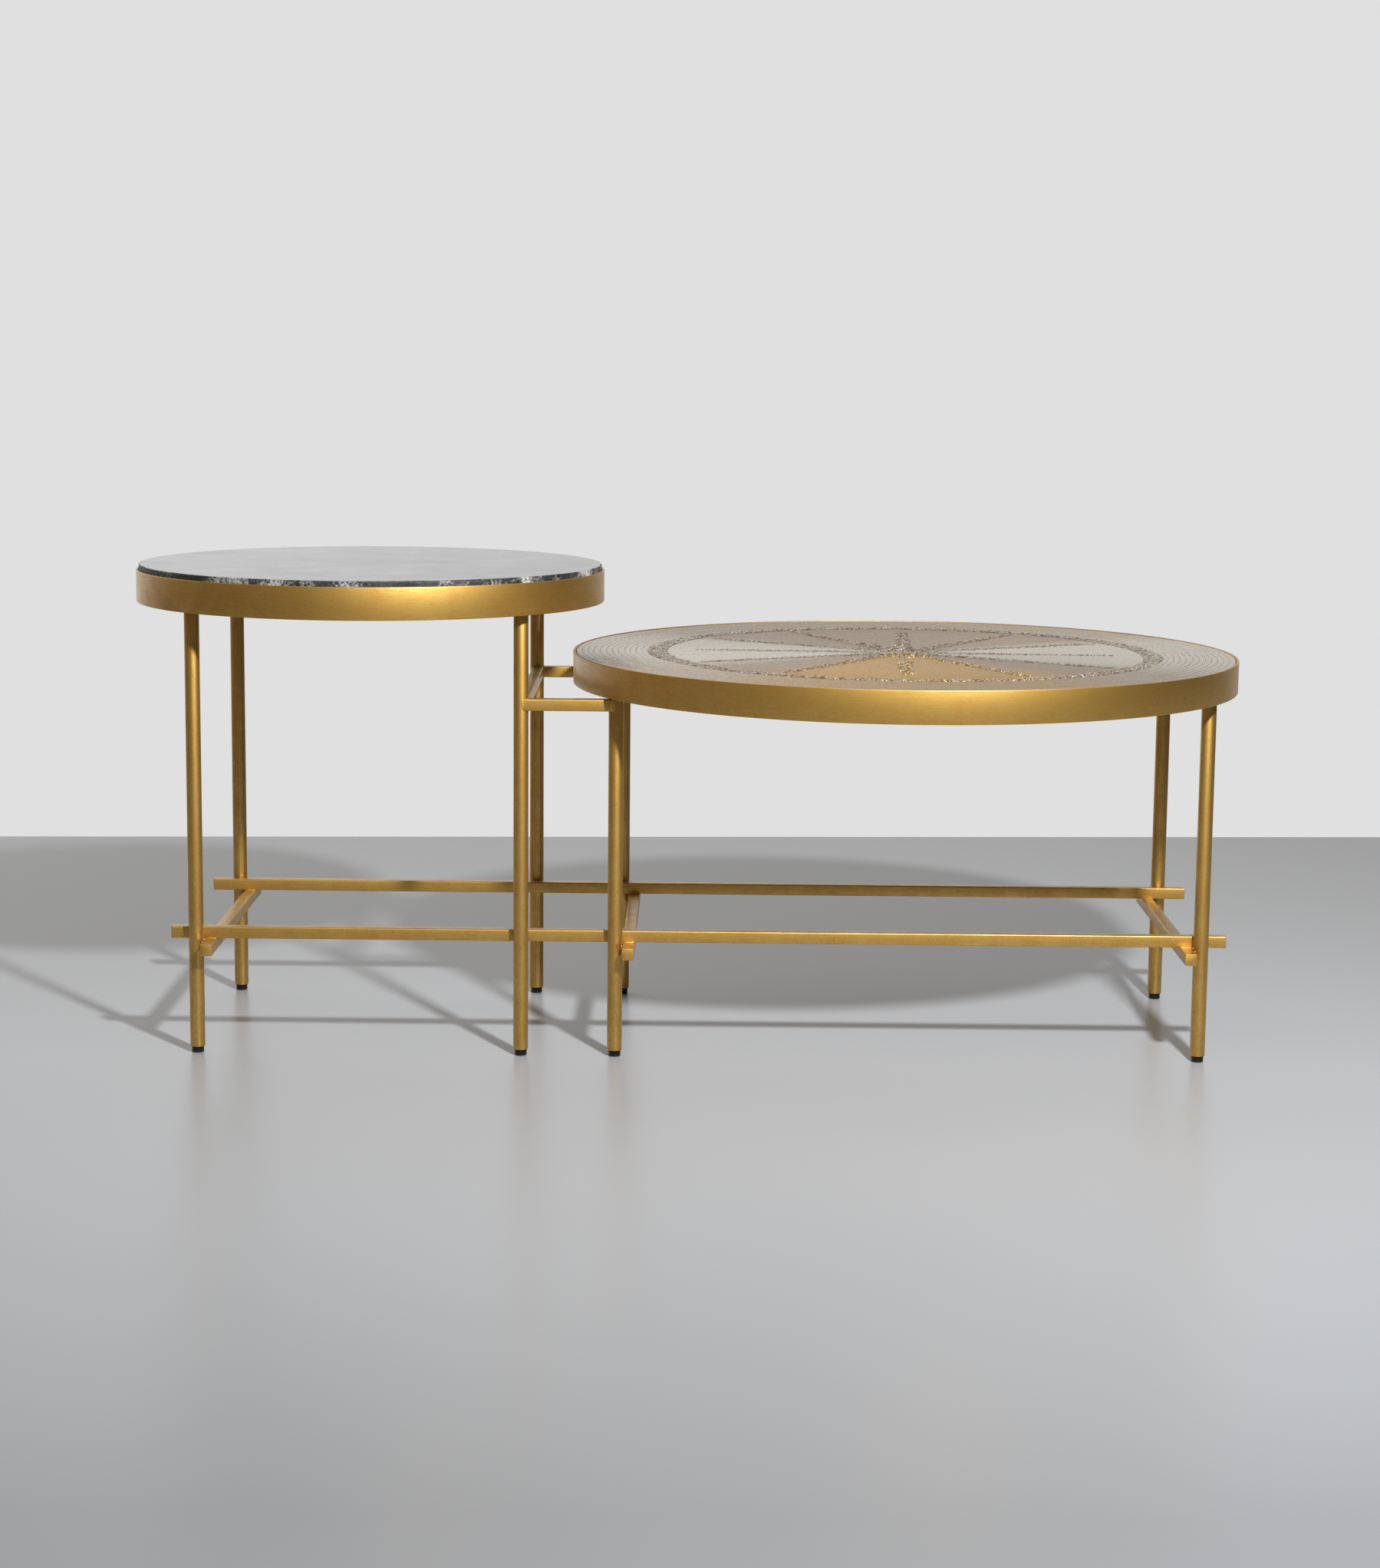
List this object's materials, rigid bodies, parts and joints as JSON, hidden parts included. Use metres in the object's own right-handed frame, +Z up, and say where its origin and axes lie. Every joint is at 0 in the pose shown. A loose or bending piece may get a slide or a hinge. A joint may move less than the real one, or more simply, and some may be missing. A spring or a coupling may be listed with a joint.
{
  "type": "two-tier occasional table",
  "caption": "Tall round table with a dark stone top and a low round table with an embossed metal top, welded into one frame of round legs and square stretchers.",
  "frame": {"origin": "on the floor, under the middle of the whole piece", "axes": "+X from the tall table to the low table, +Y to the back, +Z up"},
  "size_m": [1.4399, 0.87, 0.615],
  "materials": {
    "antique_brass_finish": "satin antique-brass plate on steel",
    "dark_marble": "polished face, honed edge",
    "embossed_metal": "embossed, antiqued sheet",
    "fibreboard": "raw fibreboard",
    "clear_silicone": "soft, clear",
    "zinc_steel": "zinc plated",
    "black_plastic": "moulded, glossy"
  },
  "bodies": {
    "frame": {"tall_band": "antique_brass_finish", "tall_ledge": "antique_brass_finish", "stone_bumpers": "clear_silicone", "low_band": "antique_brass_finish", "low_ledge": "antique_brass_finish", "low_board": "fibreboard", "embossed_sheet": "embossed_metal", "board_screws": "zinc_steel", "front_stretcher": "antique_brass_finish", "back_stretcher": "antique_brass_finish", "bar_end_caps": "antique_brass_finish", "tall_crossbar": "antique_brass_finish", "middle_crossbar": "antique_brass_finish", "low_crossbar": "antique_brass_finish", "front_link": "antique_brass_finish", "back_link": "antique_brass_finish", "cross_link": "antique_brass_finish", "leg_inserts": "zinc_steel", "tall_front_left_leg": "antique_brass_finish", "tall_front_right_leg": "antique_brass_finish", "tall_back_left_leg": "antique_brass_finish", "tall_back_right_leg": "antique_brass_finish", "low_front_left_leg": "antique_brass_finish", "low_front_right_leg": "antique_brass_finish", "low_back_left_leg": "antique_brass_finish", "low_back_right_leg": "antique_brass_finish"},
    "stone_top": {"stone_top_disc": "dark_marble"},
    "tall_front_left_foot": {"tall_front_left_foot_pad": "black_plastic", "tall_front_left_foot_stud": "zinc_steel"},
    "tall_front_right_foot": {"tall_front_right_foot_pad": "black_plastic", "tall_front_right_foot_stud": "zinc_steel"},
    "tall_back_left_foot": {"tall_back_left_foot_pad": "black_plastic", "tall_back_left_foot_stud": "zinc_steel"},
    "tall_back_right_foot": {"tall_back_right_foot_pad": "black_plastic", "tall_back_right_foot_stud": "zinc_steel"},
    "low_front_left_foot": {"low_front_left_foot_pad": "black_plastic", "low_front_left_foot_stud": "zinc_steel"},
    "low_front_right_foot": {"low_front_right_foot_pad": "black_plastic", "low_front_right_foot_stud": "zinc_steel"},
    "low_back_left_foot": {"low_back_left_foot_pad": "black_plastic", "low_back_left_foot_stud": "zinc_steel"},
    "low_back_right_foot": {"low_back_right_foot_pad": "black_plastic", "low_back_right_foot_stud": "zinc_steel"}
  },
  "joints": [
    {"name": "stone_lift", "type": "slide", "parent": "frame", "child": "stone_top", "axis": [0, 0, 1], "range_m": [0, 0.05]},
    {"name": "tall_front_left_foot_level", "type": "slide", "parent": "frame", "child": "tall_front_left_foot", "axis": [0, 0, -1], "range_m": [0, 0.01]},
    {"name": "tall_front_right_foot_level", "type": "slide", "parent": "frame", "child": "tall_front_right_foot", "axis": [0, 0, -1], "range_m": [0, 0.01]},
    {"name": "tall_back_left_foot_level", "type": "slide", "parent": "frame", "child": "tall_back_left_foot", "axis": [0, 0, -1], "range_m": [0, 0.01]},
    {"name": "tall_back_right_foot_level", "type": "slide", "parent": "frame", "child": "tall_back_right_foot", "axis": [0, 0, -1], "range_m": [0, 0.01]},
    {"name": "low_front_left_foot_level", "type": "slide", "parent": "frame", "child": "low_front_left_foot", "axis": [0, 0, -1], "range_m": [0, 0.01]},
    {"name": "low_front_right_foot_level", "type": "slide", "parent": "frame", "child": "low_front_right_foot", "axis": [0, 0, -1], "range_m": [0, 0.01]},
    {"name": "low_back_left_foot_level", "type": "slide", "parent": "frame", "child": "low_back_left_foot", "axis": [0, 0, -1], "range_m": [0, 0.01]},
    {"name": "low_back_right_foot_level", "type": "slide", "parent": "frame", "child": "low_back_right_foot", "axis": [0, 0, -1], "range_m": [0, 0.01]}
  ]
}
